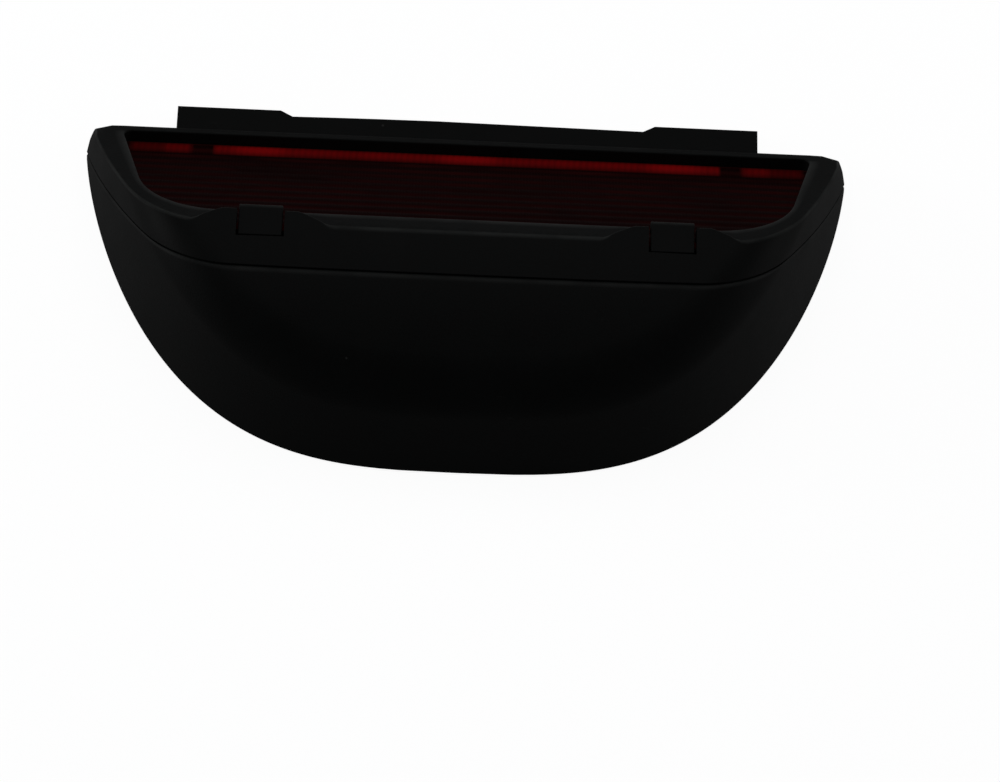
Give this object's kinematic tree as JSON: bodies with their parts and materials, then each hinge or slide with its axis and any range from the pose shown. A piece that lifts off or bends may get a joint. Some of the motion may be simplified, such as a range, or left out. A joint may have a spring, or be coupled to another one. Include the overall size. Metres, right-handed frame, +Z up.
{
  "type": "third brake light",
  "caption": "Half-moon third brake light for a parcel shelf: black plastic housing with a slanted mouth, recessed red lens, sliding cover, bulbs in quarter-turn sockets.",
  "frame": {"origin": "middle of the footprint on the parcel shelf, under the foam pads", "axes": "+Z up, +X across the car, +Y to the rear glass (the lens side), -Y to the cabin (the round side)"},
  "size_m": [0.2742, 0.145, 0.0477],
  "materials": {
    "black_plastic": "fine grained, satin black",
    "lamp_plastic": "smooth dark moulding",
    "red_lens_plastic": "clear red, fluted, glossy",
    "black_rubber": "matte",
    "grey_foam": "closed-cell foam",
    "bright_aluminium": "vacuum-coated mirror",
    "bulb_glass_clear": "clear",
    "tungsten": "coiled wire",
    "natural_nylon": "unpainted nylon",
    "contact_brass": "stamped",
    "zinc_steel": "zinc plated"
  },
  "bodies": {
    "lamp_body": {"front_bezel": "black_plastic", "lens": "red_lens_plastic", "lens_gasket": "grey_foam", "lamp_housing": "lamp_plastic", "reflector_centre": "bright_aluminium", "reflector_left": "bright_aluminium", "reflector_right": "bright_aluminium", "base_plate": "black_plastic", "shelf_pad_1": "grey_foam", "shelf_pad_2": "grey_foam", "shelf_pad_3": "grey_foam", "shelf_pad_4": "grey_foam", "connector_housing": "lamp_plastic", "connector_pin_1": "contact_brass", "connector_pin_2": "contact_brass", "lead_left": "black_rubber", "lead_grommet_left": "black_rubber", "lead_right": "black_rubber", "lead_grommet_right": "black_rubber", "housing_screw_1": "zinc_steel", "housing_screw_2": "zinc_steel", "housing_screw_3": "zinc_steel", "housing_screw_4": "zinc_steel", "spring_nut_left": "zinc_steel", "cover_clip_left": "zinc_steel", "spring_nut_right": "zinc_steel", "cover_clip_right": "zinc_steel", "heat_shield": "bright_aluminium", "vent_cap": "black_rubber"},
    "cover": {"rear_cover": "black_plastic"},
    "tongue_left": {"latch_tongue_left": "black_plastic"},
    "tongue_right": {"latch_tongue_right": "black_plastic"},
    "socket_left": {"bulb_socket_left": "natural_nylon", "socket_seal_left": "black_rubber", "bulb_glass_left": "bulb_glass_clear", "bulb_stem_left": "bulb_glass_clear", "bulb_filament_left": "tungsten", "socket_contact_left_1": "contact_brass", "socket_contact_left_2": "contact_brass"},
    "socket_right": {"bulb_socket_right": "natural_nylon", "socket_seal_right": "black_rubber", "bulb_glass_right": "bulb_glass_clear", "bulb_stem_right": "bulb_glass_clear", "bulb_filament_right": "tungsten", "socket_contact_right_1": "contact_brass", "socket_contact_right_2": "contact_brass"},
    "connector_latch": {"connector_lock": "natural_nylon"}
  },
  "joints": [
    {"name": "cover_slide", "type": "slide", "parent": "lamp_body", "child": "cover", "axis": [0, -1, 0], "range_m": [0, 0.13]},
    {"name": "tongue_press_left", "type": "hinge", "parent": "lamp_body", "child": "tongue_left", "pos_m": [-0.0715, -0.00633, 0.04545], "axis": [-1, 0, 0], "range_deg": [0, 8], "stiffness_Nm_per_rad": 0.8},
    {"name": "tongue_press_right", "type": "hinge", "parent": "lamp_body", "child": "tongue_right", "pos_m": [0.0715, -0.00633, 0.04545], "axis": [-1, 0, 0], "range_deg": [0, 8], "stiffness_Nm_per_rad": 0.8},
    {"name": "socket_turn_left", "type": "hinge", "parent": "lamp_body", "child": "socket_left", "pos_m": [-0.045, -0.0047, 0.0155], "axis": [0, 1, 0], "range_deg": [0, 40]},
    {"name": "socket_turn_right", "type": "hinge", "parent": "lamp_body", "child": "socket_right", "pos_m": [0.045, -0.0047, 0.0155], "axis": [0, 1, 0], "range_deg": [0, 40]},
    {"name": "lock_lift", "type": "hinge", "parent": "lamp_body", "child": "connector_latch", "pos_m": [0, -0.0252, 0.0166], "axis": [-1, 0, 0], "range_deg": [0, 12], "stiffness_Nm_per_rad": 0.3}
  ]
}
